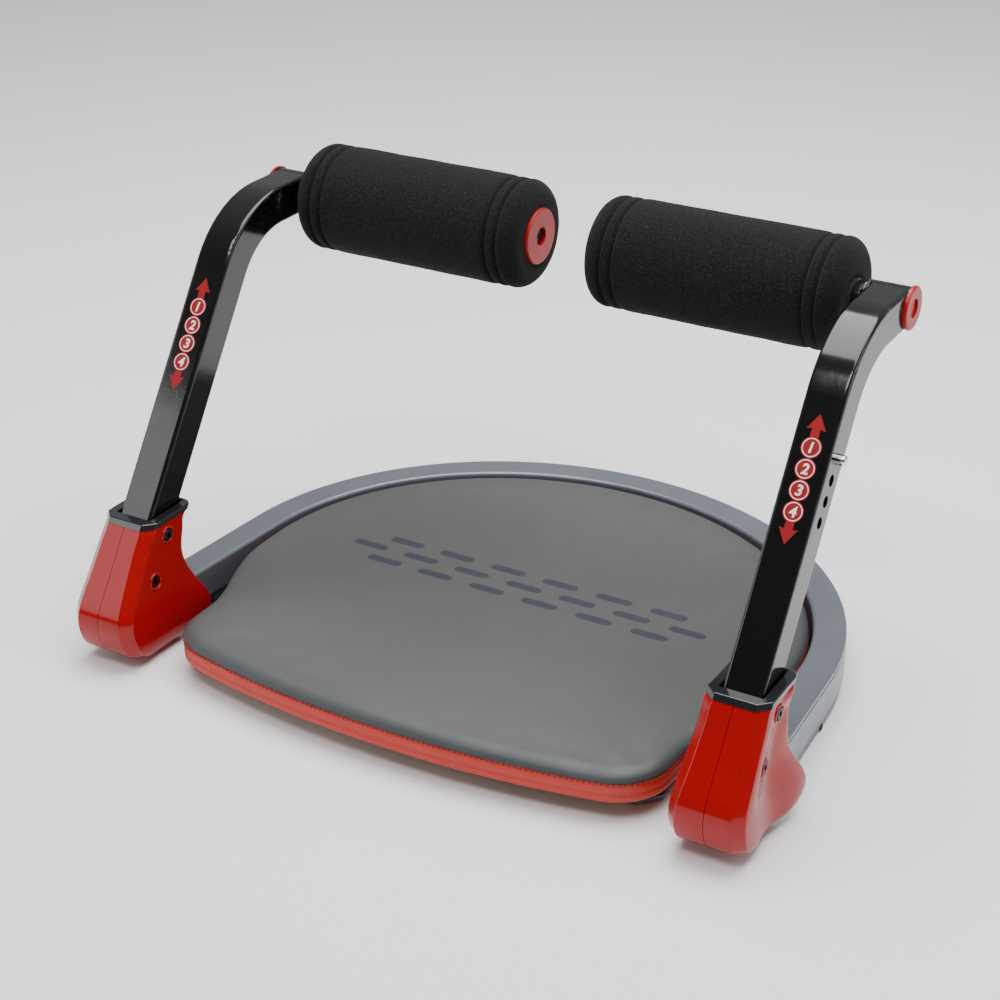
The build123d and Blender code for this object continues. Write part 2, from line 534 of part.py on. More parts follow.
def axle_sleeve():
    """Round tube welded across the arm's end; it grips the axle."""
    sleeve = x_cylinder(CROSS_R, CROSS_IN, CROSS_OUT, ROLLER_Y, ROLLER_Z)
    sleeve = fillet(sleeve.faces().sort_by(Axis.X)[0].edges(), 1.5)
    sleeve -= x_cylinder(PLUG_R, PLUG_INNER_X - 4, OUT_X, ROLLER_Y, ROLLER_Z)
    return sleeve - x_cylinder(AXLE_R, IN_X, OUT_X, ROLLER_Y, ROLLER_Z)


def roller_axle():
    """Solid axle from the sleeve to the roller's inner end, drilled for its end bolt."""
    axle = x_cylinder(AXLE_R, AXLE_INNER_X, SIDE_X, ROLLER_Y, ROLLER_Z)
    return axle - x_cylinder(BOLT_R, AXLE_INNER_X - 4, BOLT_END_X + 2, ROLLER_Y, ROLLER_Z)


def axle_bolt():
    """Button-head bolt in the axle's end; it keeps the roller on."""
    under = AXLE_INNER_X - BOLT_WASHER
    face = under - BOLT_HEAD
    head = x_cylinder(BOLT_HEAD_R, face, under, ROLLER_Y, ROLLER_Z)
    head = fillet(head.faces().sort_by(Axis.X)[0].edges(), 1.6)
    washer = x_cylinder(BOLT_WASHER_R, under, AXLE_INNER_X, ROLLER_Y, ROLLER_Z)
    plane = Plane((face, ROLLER_Y, ROLLER_Z), x_dir=(0, 1, 0), z_dir=(1, 0, 0))
    socket = plane * extrude(RegularPolygon(2.9, 6), 2.0)
    return head + washer + x_cylinder(BOLT_R, under, BOLT_END_X, ROLLER_Y, ROLLER_Z) - socket


def axle_washer():
    return x_ring(WASHER_R, AXLE_R, WASHER_X, CROSS_IN, ROLLER_Y, ROLLER_Z)


def end_plug():
    """Push-in plug in the sleeve's outer end, dished in its middle."""
    plug = x_cylinder(PLUG_HEAD_R, CROSS_OUT, CROSS_OUT + PLUG_HEAD, ROLLER_Y, ROLLER_Z)
    plug = fillet(plug.faces().sort_by(Axis.X)[-1].edges(), 1.4)
    plug += x_cylinder(PLUG_R, PLUG_INNER_X, CROSS_OUT, ROLLER_Y, ROLLER_Z)
    return plug - x_cylinder(DISH_R, CROSS_OUT + DISH_FLOOR, CROSS_OUT + 5, ROLLER_Y, ROLLER_Z)


def foam_roller():
    foam = x_cylinder(ROLLER_R, ROLLER_INNER_X, ROLLER_OUTER_X, ROLLER_Y, ROLLER_Z)
    foam = fillet(foam.edges().filter_by(GeomType.CIRCLE), FOAM_END_R)
    foam -= x_cylinder(CORE_R, 0, OUT_X, ROLLER_Y, ROLLER_Z)
    for groove in GROOVES:
        for x in (ROLLER_INNER_X + groove, ROLLER_OUTER_X - groove):
            ends = x - GROOVE_HALF, x + GROOVE_HALF
            foam -= x_ring(ROLLER_R + 5, ROLLER_R - GROOVE_DEPTH, *ends, ROLLER_Y, ROLLER_Z)
    return foam


def roller_core():
    """Rigid sleeve glued in the foam, which turns on the axle."""
    core = x_cylinder(CORE_R, CORE_INNER_X, ROLLER_OUTER_X, ROLLER_Y, ROLLER_Z)
    return core - x_cylinder(AXLE_R + 0.08, 0, OUT_X, ROLLER_Y, ROLLER_Z)


def roller_cap():
    """Flanged end cap pushed into the foam's inner end."""
    cap = x_cylinder(CAP_R, ROLLER_INNER_X - CAP_FLANGE, ROLLER_INNER_X, ROLLER_Y, ROLLER_Z)
    cap = fillet(cap.faces().sort_by(Axis.X)[0].edges(), 1.2)
    cap += x_cylinder(CORE_R, ROLLER_INNER_X, CORE_INNER_X, ROLLER_Y, ROLLER_Z)
    beyond = CORE_INNER_X + 5
    cap -= x_cylinder(CAP_BORE_R, ROLLER_INNER_X - 9, beyond, ROLLER_Y, ROLLER_Z)
    return cap - x_cylinder(CAP_ROOM_R, ROLLER_INNER_X + 0.1, beyond, ROLLER_Y, ROLLER_Z)


def snap_button():
    """Domed button through the arm tube's top hole."""
    point = arm_point(TOP_HOLE)
    shank = x_cylinder(BUTTON_R, BUTTON_X0, BUTTON_X1, point.Y, point.Z)
    shank = fillet(shank.faces().sort_by(Axis.X)[-1].edges(), DOME_R)
    return shank + x_cylinder(BUTTON_FLANGE_R, FLANGE_X0, FLANGE_X1, point.Y, point.Z)


def button_spring():
    """Folded leaf spring behind the button."""
    strip = make_face(offset(Polyline(*SPRING_LINE), LEAF / 2).edges())
    behind = arm_point(TOP_HOLE, 0, FLANGE_X0 - LEAF / 2)
    plane = Plane(behind, x_dir=ALONG * -1, z_dir=ACROSS * -1)
    return plane * extrude(strip, LEAF_HALF, both=True)


# ---- write the parts -------------------------------------------------------------------------
def write(name, shape):
    solids = list(shape.solids())
    out = solids[0] if len(solids) == 1 else Compound(children=solids)
    out.label = name
    export_step(out, f"parts/{name}.step")


def write_sides(name, shape):
    """Writes the right-hand piece and its mirror image as two nodes."""
    write(f"{name}_right", shape)
    write(f"{name}_left", mirror(shape, about=Plane.YZ))


def main():
    write("base_ring_shell", base_ring_shell())
    write("base_tray", base_tray())
    write("frame_tube", frame_tube())
    write("cross_beam", cross_beam())
    write("rubber_feet", rubber_feet())
    write("shell_screws", screw_group(SHELL_SCREWS, SHELL_SCREW_LENGTH))
    write("seat_screws", screw_group(SEAT_SCREWS, SEAT_SCREW_LENGTH))
    write("seat_board", seat_board())
    write("seat_pad", seat_pad())
    write_sides("pivot_block", pivot_block())
    write_sides("pivot_pin", pivot_pin())
    write("pivot_nuts", both(pivot_nut()))
    write_sides("torsion_spring", torsion_spring())
    write_sides("yoke", yoke())
    write_sides("yoke_bushes", yoke_bushes())
    write_sides("inner_tube", inner_tube())
    boot = boot_body()
    write_sides("boot_inner_half", boot_half(boot, True))
    write_sides("boot_outer_half", boot_half(boot, False))
    write_sides("boot_screws", boot_screws())
    write_sides("boot_collar", collar())
    write_sides("arm_tube", arm_tube())
    write_sides("axle_sleeve", axle_sleeve())
    write_sides("roller_axle", roller_axle())
    write_sides("axle_bolt", axle_bolt())
    write_sides("axle_washer", axle_washer())
    write_sides("end_plug", end_plug())
    write_sides("snap_button", snap_button())
    write_sides("button_spring", button_spring())
    write_sides("foam_roller", foam_roller())
    write_sides("roller_core", roller_core())
    write_sides("roller_cap", roller_cap())


main()
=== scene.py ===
"""Looks of the ab crunch machine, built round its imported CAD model. Metres, in the part's frame."""
import json
import math

import bmesh
import bpy
import numpy as np
from mathutils import Matrix, Vector, noise
from mathutils.kdtree import KDTree


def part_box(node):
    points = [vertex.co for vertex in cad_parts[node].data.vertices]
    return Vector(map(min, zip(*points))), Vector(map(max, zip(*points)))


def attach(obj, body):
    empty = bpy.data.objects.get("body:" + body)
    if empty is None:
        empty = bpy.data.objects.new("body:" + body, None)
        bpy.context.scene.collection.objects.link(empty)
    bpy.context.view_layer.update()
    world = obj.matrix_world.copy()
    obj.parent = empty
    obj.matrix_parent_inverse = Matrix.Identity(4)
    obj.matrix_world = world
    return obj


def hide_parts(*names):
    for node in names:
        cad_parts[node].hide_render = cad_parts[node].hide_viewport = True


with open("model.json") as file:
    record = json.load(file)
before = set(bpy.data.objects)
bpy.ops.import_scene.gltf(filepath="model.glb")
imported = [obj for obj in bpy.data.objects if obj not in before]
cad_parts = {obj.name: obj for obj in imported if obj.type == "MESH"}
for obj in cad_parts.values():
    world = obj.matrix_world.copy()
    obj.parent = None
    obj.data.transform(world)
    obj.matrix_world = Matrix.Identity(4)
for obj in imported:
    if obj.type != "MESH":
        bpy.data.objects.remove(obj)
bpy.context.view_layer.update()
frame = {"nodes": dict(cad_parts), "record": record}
NODES = frame["nodes"]
SIDES = (("left", -1), ("right", 1))

# the arms, as the CAD has them
SIDE_X = 0.2575
ARM_Y, ARM_Z = -0.1535, 0.1017
LEAN = math.radians(34)
TUBE_HALF = 0.015
HOLES_ALONG = (0.172, 0.157, 0.142, 0.127)
ALONG = Vector((0, math.sin(LEAN), math.cos(LEAN)))
ACROSS = Vector((0, math.cos(LEAN), -math.sin(LEAN)))
BOOT_SCREWS = (-0.0055, -0.0430)

# the seat's cover, from the floor up
BAND_FOOT_Z = (0.0170, 0.0215)
# height of the band's fold, and how far the painted shade along it reaches either side
FOLD_Z, FOLD_SHADE_HALF = 0.0243, 0.0011
CUSHION_BASE_Z, SEAM_Z, CUSHION_TOP_Z = 0.0264, 0.0330, 0.0416
# heights over which the painted shade and dark reflection of the seat's rolled edge fade in, darkest at the
# lower one
ROLL_SHADE_Z = (0.0365, 0.0422)
SEAT_CENTRE_Y = -0.02
LEATHER_GRAIN = 1500.0

# the printed height marks, in the plane of the arm's front face
DISC_R, RING_OUT_R, RING_IN_R = 0.0075, 0.0066, 0.0060
ARROW_ENDS = (0.1957, 1), (0.1042, -1)
ARROW_LENGTH, ARROW_HALF, ARROW_BARB, SHAFT_HALF, SHAFT_START = 0.0105, 0.0070, 0.0008, 0.0031, 0.0070
RED_LIFT, DISC_LIFT, WHITE_LIFT, INK_DEPTH, LABEL_LIFT = 0.00006, 0.00007, 0.00013, 0.00006, 0.00002
DIGIT_SIZE, DIGIT_SLANT, DIGIT_BOLD = 0.0104, 0.12, 0.00025

CLOTH_FRAMES = 20


def arm_point(x, along, across):
    """A point beside the pivot of an arm, up its line and across it."""
    return Vector((x, ARM_Y, ARM_Z)) + ALONG * along + ACROSS * across


# ---- materials ---------------------------------------------------------------------------
class Nodes:
    """A short way to write a procedural material."""

    def __init__(self, name):
        self.material = bpy.data.materials.new(name)
        self.material.use_nodes = True
        self.tree = self.material.node_tree
        self.shader = self.tree.nodes["Principled BSDF"]
        self.place = self.tree.nodes.new("ShaderNodeTexCoord").outputs["Object"]

    def add(self, kind, inputs=(), **settings):
        node = self.tree.nodes.new(kind)
        for key, value in settings.items():
            setattr(node, key, value)
        for key, value in dict(inputs).items():
            self.put(node.inputs[key], value)
        return node

    def put(self, socket, value):
        if isinstance(value, bpy.types.NodeSocket):
            self.tree.links.new(value, socket)
        else:
            socket.default_value = value

    def maths(self, operation, a, b=0.0):
        return self.add("ShaderNodeMath", {0: a, 1: b}, operation=operation).outputs[0]

    def stretch(self, scale):
        return self.add("ShaderNodeMapping", {"Vector": self.place, "Scale": scale}).outputs[0]

    def noise(self, scale, detail=2.0, vector=None, roughness=0.5):
        inputs = {"Vector": vector or self.place, "Scale": scale, "Detail": detail, "Roughness": roughness}
        return self.add("ShaderNodeTexNoise", inputs).outputs["Fac"]

    def cells(self, scale, feature="F1", vector=None):
        inputs = {"Vector": vector or self.place, "Scale": scale}
        return self.add("ShaderNodeTexVoronoi", inputs, feature=feature).outputs["Distance"]

    def span(self, value, low, high, to_low=0.0, to_high=1.0):
        inputs = {"Value": value, "From Min": low, "From Max": high, "To Min": to_low, "To Max": to_high}
        return self.add("ShaderNodeMapRange", inputs, clamp=True).outputs[0]

    def mix(self, factor, a, b):
        node = self.add("ShaderNodeMix", data_type="RGBA")
        self.put(node.inputs[0], factor)
        for socket, value in ((node.inputs[6], a), (node.inputs[7], b)):
            self.put(socket, value if isinstance(value, bpy.types.NodeSocket) else (*value, 1.0))
        return node.outputs[2]

    def axes(self):
        return self.add("ShaderNodeSeparateXYZ", {0: self.place}).outputs[:3]

    def bump(self, height, distance, strength=1.0, normal=None):
        inputs = {"Height": height, "Distance": distance, "Strength": strength}
        if normal:
            inputs["Normal"] = normal
        return self.add("ShaderNodeBump", inputs).outputs[0]

    def finish(self, colour, roughness, normal=None, **fixed):
        self.put(self.shader.inputs["Base Color"], colour)
        self.put(self.shader.inputs["Roughness"], roughness)
        if normal:
            self.put(self.shader.inputs["Normal"], normal)
        for key, value in fixed.items():
            self.shader.inputs[key.replace("_", " ")].default_value = value
        return self.material


def moulded(name, dark, light, rough, grain=1400.0, depth=2e-5, scuff=0.25, **fixed):
    """Moulded plastic or rubber: slow tone change, a fine surface grain and faint scuffs."""
    m = Nodes(name)
    tone = m.mix(m.noise(14.0, 4.0), dark, light)
    scratch = m.span(m.noise(90.0, 8.0, m.stretch((1.0, 6.0, 1.6)), 0.75), 0.63, 0.74)
    worn = m.maths("MULTIPLY", scratch, scuff)
    colour = m.mix(worn, tone, tuple(min(1.0, c * 1.5 + 0.03) for c in light))
    cloudy = m.span(m.noise(45.0, 5.0), 0.3, 0.7, rough * 0.86, rough * 1.16)
    roughness = m.maths("ADD", cloudy, m.maths("MULTIPLY", worn, 0.4))
    return m.finish(colour, roughness, m.bump(m.noise(grain, 3.0), depth), **fixed)


def arm_paint():
    """Gloss black powder coat: faint orange peel, fine dust, and paint rubbed off the tube's corners."""
    m = Nodes("arm_paint")
    x, y, z = m.axes()
    side = m.maths("ABSOLUTE", m.maths("SUBTRACT", m.maths("ABSOLUTE", x), SIDE_X))
    across_y = m.maths("MULTIPLY", m.maths("SUBTRACT", y, ARM_Y), math.cos(LEAN))
    across_z = m.maths("MULTIPLY", m.maths("SUBTRACT", z, ARM_Z), math.sin(LEAN))
    across = m.maths("SUBTRACT", across_y, across_z)
    corner = m.maths("MINIMUM", side, m.maths("ABSOLUTE", across))
    edge = m.span(corner, TUBE_HALF - 0.0016, TUBE_HALF - 0.0004)
    rubbed = m.maths("MULTIPLY", edge, m.span(m.noise(70.0, 9.0, roughness=0.7), 0.55, 0.68, 0.0, 0.35))
    dust = m.span(m.noise(2600.0, 2.0), 0.68, 0.78, 0.0, 0.12)
    base = m.mix(m.noise(25.0, 3.0), (0.0018, 0.0018, 0.0020), (0.0032, 0.0033, 0.0036))
    colour = m.mix(rubbed, m.mix(dust, base, (0.10, 0.10, 0.105)), (0.12, 0.12, 0.125))
    cloudy = m.span(m.noise(60.0, 5.0), 0.3, 0.7, 0.09, 0.15)
    roughness = m.maths("ADD", cloudy, m.maths("MULTIPLY", rubbed, 0.6))
    waves = m.bump(m.noise(46.0, 2.0), 1.4e-4, 0.5)
    peel = m.bump(m.noise(420.0, 2.0), 2.2e-5, 1.0, waves)
    return m.finish(colour, roughness, peel, Specular_IOR_Level=0.5, Coat_Weight=0.15, Coat_Roughness=0.08)


def metal(name, dark, light, rough, streak=(1.0, 1.0, 1.0), pits=0.3, **fixed):
    """Plated or oiled steel: streaks along one way, cloudy roughness and small pits."""
    m = Nodes(name)
    lines = m.noise(900.0, 4.0, m.stretch(streak))
    tone = m.mix(m.noise(35.0, 6.0), dark, light)
    spots = m.span(m.cells(420.0), 0.0, 0.16, pits, 0.0)
    colour = m.mix(spots, tone, tuple(c * 0.35 for c in dark))
    streaky = m.span(lines, 0.3, 0.7, rough * 0.8, rough * 1.25)
    roughness = m.maths("ADD", streaky, m.maths("MULTIPLY", spots, 0.3))
    return m.finish(colour, roughness, m.bump(lines, 1.2e-5), Metallic=1.0, **fixed)


def board_wood():
    """Plywood: long grain, darker streaks and open pores."""
    m = Nodes("board_wood")
    long = m.stretch((1.0, 14.0, 14.0))
    grain = m.noise(9.0, 9.0, long, 0.68)
    tone = m.mix(m.span(grain, 0.32, 0.66), (0.20, 0.115, 0.055), (0.44, 0.30, 0.17))
    pores = m.span(m.noise(420.0, 3.0, m.stretch((1.0, 18.0, 18.0))), 0.60, 0.70, 0.0, 0.5)
    colour = m.mix(pores, tone, (0.09, 0.05, 0.025))
    return m.finish(colour, m.span(grain, 0.3, 0.7, 0.55, 0.75), m.bump(pores, -6e-5))


def leather_grain(m, size):
    """Height of a fine pebbled vinyl grain."""
    warped = m.add("ShaderNodeVectorMath", {0: m.place}, operation="ADD")
    shift = m.add("ShaderNodeTexNoise", {"Vector": m.place, "Scale": size * 0.5, "Detail": 2.0})
    reach = {0: shift.outputs["Color"], "Scale": 0.4 / size}
    scaled = m.add("ShaderNodeVectorMath", reach, operation="SCALE")
    m.put(warped.inputs[1], scaled.outputs[0])
    pebbles = m.cells(size, "DISTANCE_TO_EDGE", warped.outputs[0])
    return m.span(pebbles, 0.02, 0.22)


def dash_mask(m, x, y):
    """Three staggered rows of rounded dashes on the back of the seat: 1 inside a dash."""
    pitch_x, pitch_y, half, radius, blur = 0.048, 0.0175, 0.0115, 0.0042, 0.0002
    rows, low_y, reach = 3, -0.033, 0.168
    above = m.maths("SUBTRACT", y, low_y)
    row = m.maths("FLOOR", m.maths("DIVIDE", above, pitch_y))
    shifted = m.maths("ADD", x, m.maths("MULTIPLY", row, pitch_x / 2))
    u = m.maths("SUBTRACT", m.maths("FLOORED_MODULO", shifted, pitch_x), pitch_x / 2)
    v = m.maths("SUBTRACT", above, m.maths("MULTIPLY", m.maths("ADD", row, 0.5), pitch_y))
    du = m.maths("MAXIMUM", m.maths("SUBTRACT", m.maths("ABSOLUTE", u), half), 0.0)
    squared = m.maths("ADD", m.maths("MULTIPLY", du, du), m.maths("MULTIPLY", v, v))
    inside = m.span(m.maths("SQRT", squared), radius + blur, radius - blur)
    centre = m.maths("ABSOLUTE", m.maths("SUBTRACT", x, u))
    for value, limit in ((row, -0.5), (m.maths("SUBTRACT", rows - 1, row), -0.5)):
        inside = m.maths("MULTIPLY", inside, m.maths("GREATER_THAN", value, limit))
    return m.maths("MULTIPLY", inside, m.maths("LESS_THAN", centre, reach))


def seat_vinyl():
    """Grey grained vinyl: painted shade and dark reflection where the edge rolls over, rubbed in patches,
    with dark printed dashes.
    """
    m = Nodes("seat_vinyl")
    x, y, z = m.axes()
    grain = leather_grain(m, LEATHER_GRAIN)
    tone = m.mix(m.noise(11.0, 5.0), (0.070, 0.072, 0.068), (0.087, 0.089, 0.083))
    # painted shade and dark reflection: the rolled edge of the cushion is tinted darker blue-grey
    roll_shade = m.span(z, ROLL_SHADE_Z[1], ROLL_SHADE_Z[0])
    tone = m.mix(m.maths("MULTIPLY", roll_shade, 0.75), tone, (0.030, 0.040, 0.047))
    rub = m.span(m.noise(32.0, 7.0, roughness=0.65), 0.55, 0.75, 0.0, 0.22)
    tone = m.mix(rub, tone, (0.112, 0.112, 0.106))
    tone = m.mix(m.maths("MULTIPLY", grain, 0.25), m.mix(0.18, tone, (0.0, 0.0, 0.0)), tone)
    wear = m.span(m.noise(160.0, 6.0), 0.25, 0.42, 0.82, 1.0)
    print_worn = m.maths("MULTIPLY", dash_mask(m, x, y), wear)
    colour = m.mix(print_worn, tone, (0.019, 0.022, 0.038))
    cloudy = m.span(m.noise(40.0, 5.0), 0.3, 0.7, 0.46, 0.58)
    roughness = m.maths("SUBTRACT", cloudy, m.maths("MULTIPLY", print_worn, 0.08))
    soft = m.bump(m.noise(38.0, 3.0), 2.5e-4, 0.35)
    pebbled = m.bump(grain, 3.2e-5, 0.55, soft)
    return m.finish(colour, roughness, pebbled, Sheen_Weight=0.08, Sheen_Roughness=0.5)


def seat_trim():
    """Red grained vinyl of the side band: darker in patches towards its foot, with painted shade in the fold.
    """
    m = Nodes("seat_trim")
    z = m.axes()[2]
    grain = leather_grain(m, LEATHER_GRAIN)
    tone = m.mix(m.noise(30.0, 5.0), (0.42, 0.013, 0.005), (0.53, 0.023, 0.009))
    patches = m.span(m.noise(55.0, 5.0), 0.35, 0.65, 0.1, 0.5)
    # darker in patches towards the band's foot
    foot_darkening = m.maths("MULTIPLY", m.span(z, BAND_FOOT_Z[1], BAND_FOOT_Z[0]), patches)
    tone = m.mix(foot_darkening, tone, (0.22, 0.020, 0.016))
    # painted shade along the groove of the band's fold
    fold = m.span(m.maths("ABSOLUTE", m.maths("SUBTRACT", z, FOLD_Z)), FOLD_SHADE_HALF, 0.0)
    colour = m.mix(m.maths("MULTIPLY", fold, 0.35), tone, (0.20, 0.014, 0.012))
    soft = m.bump(m.noise(120.0, 3.0), 2.2e-4, 0.4)
    roughness = m.span(m.noise(60.0, 5.0), 0.3, 0.7, 0.44, 0.58)
    return m.finish(colour, roughness, m.bump(grain, 3e-5, 0.5, soft))


def thread(name, colour):
    """Twisted sewing thread."""
    m = Nodes(name)
    twist = m.noise(5200.0, 2.0)
    shade = m.mix(twist, tuple(c * 0.65 for c in colour), colour)
    return m.finish(shade, m.span(twist, 0.3, 0.7, 0.6, 0.8), m.bump(twist, 5e-5))


def roller_foam():
    """Closed-cell foam: fine cells and pale flecks."""
    m = Nodes("roller_foam")
    cells = m.cells(850.0)
    fine = m.noise(1050.0, 4.0, roughness=0.6)
    fleck = m.span(fine, 0.50, 0.68)
    tone = m.mix(m.noise(30.0, 5.0), (0.0022, 0.0022, 0.0025), (0.0042, 0.0042, 0.0045))
    colour = m.mix(fleck, tone, (0.025, 0.0255, 0.026))
    lumps = m.bump(m.noise(170.0, 3.0), 3e-4, 0.3)
    porous = m.bump(m.maths("ADD", m.maths("MULTIPLY", cells, 0.6), fine), 4.5e-4, 0.9, lumps)
    return m.finish(
        colour, m.span(fine, 0.3, 0.7, 0.88, 1.0), porous,
        Specular_IOR_Level=0.15, Sheen_Weight=0.03, Sheen_Roughness=0.6)


def printed(name, colour):
    """Ink of a printed label: slight mottling and gloss."""
    m = Nodes(name)
    mottle = m.noise(700.0, 3.0)
    shade = m.mix(mottle, tuple(c * 0.88 for c in colour), colour)
    return m.finish(shade, m.span(mottle, 0.3, 0.7, 0.40, 0.52), m.bump(mottle, 3e-6), Specular_IOR_Level=0.3)


def floor_material():
    """Plain pale floor with the slightest cloudiness."""
    m = Nodes("studio_floor")
    tone = m.mix(m.noise(3.0, 3.0), (0.86, 0.86, 0.86), (0.89, 0.89, 0.89))
    return m.finish(tone, m.span(m.noise(8.0, 3.0), 0.3, 0.7, 0.75, 0.85))


RED, DARK_RED = (0.33, 0.001, 0.002), (0.26, 0.0008, 0.0016)
FINISHES = {
    "base_plastic": lambda: moulded(
        "base_plastic", (0.130, 0.142, 0.165), (0.168, 0.182, 0.208), 0.34, 1900.0, 1.2e-5, 0.10,
        Metallic=0.35, Coat_Weight=0.25, Coat_Roughness=0.22),
    "tray_plastic": lambda: moulded(
        "tray_plastic", (0.115, 0.124, 0.140), (0.150, 0.160, 0.178), 0.42, 1700.0, 2e-5, 0.25, Metallic=0.2),
    "boot_plastic": lambda: moulded(
        "boot_plastic", DARK_RED, RED, 0.16, 500.0, 9e-6, 0.05, Specular_IOR_Level=0.29, Coat_Weight=0.05,
        Coat_Roughness=0.10),
    "black_gloss_plastic": lambda: moulded(
        "black_gloss_plastic", (0.006, 0.007, 0.009), (0.010, 0.011, 0.014), 0.16, 600.0, 1e-5, 0.08,
        Coat_Weight=0.4, Coat_Roughness=0.1),
    "red_plastic": lambda: moulded(
        "red_plastic", (0.31, 0.003, 0.004), (0.38, 0.006, 0.007), 0.36, 1500.0, 2e-5, 0.10,
        Specular_IOR_Level=0.35),
    "arm_paint": arm_paint,
    "bare_steel": lambda: metal(
        "bare_steel", (0.085, 0.086, 0.090), (0.135, 0.136, 0.140), 0.42, (1.0, 9.0, 9.0)),
    "black_steel": lambda: metal(
        "black_steel", (0.030, 0.031, 0.034), (0.055, 0.056, 0.060), 0.42, (1.0, 3.0, 3.0)),
    "button_chrome": lambda: metal(
        "button_chrome", (0.66, 0.66, 0.68), (0.80, 0.80, 0.82), 0.12, (6.0, 1.0, 1.0), 0.15),
    "core_plastic": lambda: moulded("core_plastic", (0.020, 0.020, 0.022), (0.035, 0.035, 0.037), 0.5),
    "foot_rubber": lambda: moulded(
        "foot_rubber", (0.010, 0.010, 0.010), (0.022, 0.022, 0.022), 0.82, 1100.0, 6e-5, 0.5),
    "board_wood": board_wood,
    "bush_polymer": lambda: moulded("bush_polymer", (0.55, 0.53, 0.47), (0.68, 0.66, 0.60), 0.48),
    "seat_vinyl": seat_vinyl,
    "seat_trim": seat_trim,
    "roller_foam": roller_foam,
}
MATERIALS = {name: make() for name, make in FINISHES.items()}
THREAD_DARK = thread("thread_dark", (0.012, 0.010, 0.012))
THREAD_RED = thread("thread_red", (0.34, 0.022, 0.020))
WELD_PAINT = moulded(
    "weld_paint", (0.002, 0.002, 0.0022), (0.004, 0.004, 0.0044), 0.45, 900.0, 3e-5, 0.1)
INK_RED = printed("ink_red", (0.27, 0.002, 0.004))
INK_WHITE = printed("ink_white", (0.84, 0.82, 0.80))


def paint_cad():
    """Gives each CAD node the finish of its material slot in the record."""
    slots = {s["node"]: s["material_slot"] for s in frame["record"]["subparts"]}
    for name, obj in NODES.items():
        for place in obj.material_slots:
            place.material = MATERIALS[slots[name]]


# ---- meshes ------------------------------------------------------------------------------
def make_object(name, vertices, faces, material, smooth=True):
    """A linked mesh object with one material."""
    mesh = bpy.data.meshes.new(name)
    mesh.from_pydata([tuple(v) for v in vertices], [], faces)
    mesh.materials.append(material)
    mesh.update()
    if smooth:
        mesh.shade_smooth()
    obj = bpy.data.objects.new(name, mesh)
    bpy.context.collection.objects.link(obj)
    return obj


def outward(obj):
    """Turns the faces of a closed mesh outward."""
    shape = bmesh.new()
    shape.from_mesh(obj.data)
    bmesh.ops.recalc_face_normals(shape, faces=shape.faces)
    shape.to_mesh(obj.data)
    shape.free()
    return obj


def ring_faces(rows, columns, closed_rows=False):
    """Quads between rows of vertices that each close on themselves; closed_rows joins the last row to the
    first."""
    faces = []
    for r in range(rows if closed_rows else rows - 1):
        a, b = r * columns, ((r + 1) % rows) * columns
        faces += [(a + c, a + (c + 1) % columns, b + (c + 1) % columns, b + c) for c in range(columns)]
    return faces


def cap_faces(count, columns):
    """The faces that close the first and the last row of a run of rows, out of count vertices."""
    return [tuple(range(columns)), tuple(range(count - 1, count - columns - 1, -1))]


def seat_plan(count):
    """The pad's plan, read from the CAD pad's side wall: evenly spaced points, their outward normals and
    the length round it."""
    wall_z, wall_band, smoothing = 0.036, 3e-4, 0.007
    mesh = NODES["seat_pad"].data
    points = np.array([v.co for v in mesh.vertices])
    wall = points[abs(points[:, 2] - wall_z) < wall_band][:, :2]
    centre = np.array([0.0, -0.019])
    rel = wall - centre
    angle, radius = np.arctan2(rel[:, 1], rel[:, 0]), np.hypot(rel[:, 0], rel[:, 1])
    order = np.argsort(angle)
    even = np.linspace(-math.pi, math.pi, 6000, endpoint=False)
    reach = np.interp(even, angle[order], radius[order], period=2 * math.pi)
    outline = centre + np.stack([np.cos(even) * reach, np.sin(even) * reach], -1)
    steps = np.hypot(*(np.roll(outline, -1, 0) - outline).T)
    length = np.concatenate([[0.0], np.cumsum(steps)])
    closed = np.vstack([outline, outline[:1]])
    at = np.linspace(0.0, length[-1], count, endpoint=False)
    plan = np.stack([np.interp(at, length, closed[:, i]) for i in (0, 1)], -1)
    width = max(1, int(smoothing / (length[-1] / count)))
    kernel = np.hanning(2 * width + 3)[1:-1]
    kernel /= kernel.sum()
    half = len(kernel) // 2
    plan = np.stack([np.convolve(np.r_[p[-half:], p, p[:half]], kernel, "valid") for p in plan.T], -1)
    tangent = np.roll(plan, -1, 0) - np.roll(plan, 1, 0)
    tangent /= np.hypot(*tangent.T)[:, None]
    return plan, np.stack([tangent[:, 1], -tangent[:, 0]], -1), length[-1]


def around(plan, normal, section):
    """Vertices of rings that follow the seat's plan at (inset, height) pairs."""
    return [(*(p - n * inset), z) for inset, z in section for p, n in zip(plan, normal)]


def edge_roll(inset, z, width, height, steps=14):
    """(inset, height) points of a quarter round that starts upright and ends flat."""
    angles = [math.pi / 2 * i / steps for i in range(steps + 1)]
    return [(inset + width * (1 - math.cos(a)), z + height * math.sin(a)) for a in angles]


def apply_modifiers(obj):
    """Replaces the mesh by its evaluated copy, with no modifiers left."""
    shown = obj.evaluated_get(bpy.context.evaluated_depsgraph_get())
    mesh = bpy.data.meshes.new_from_object(shown)
    old, obj.data = obj.data, mesh
    obj.modifiers.clear()
    bpy.data.meshes.remove(old)
    mesh.shade_smooth()


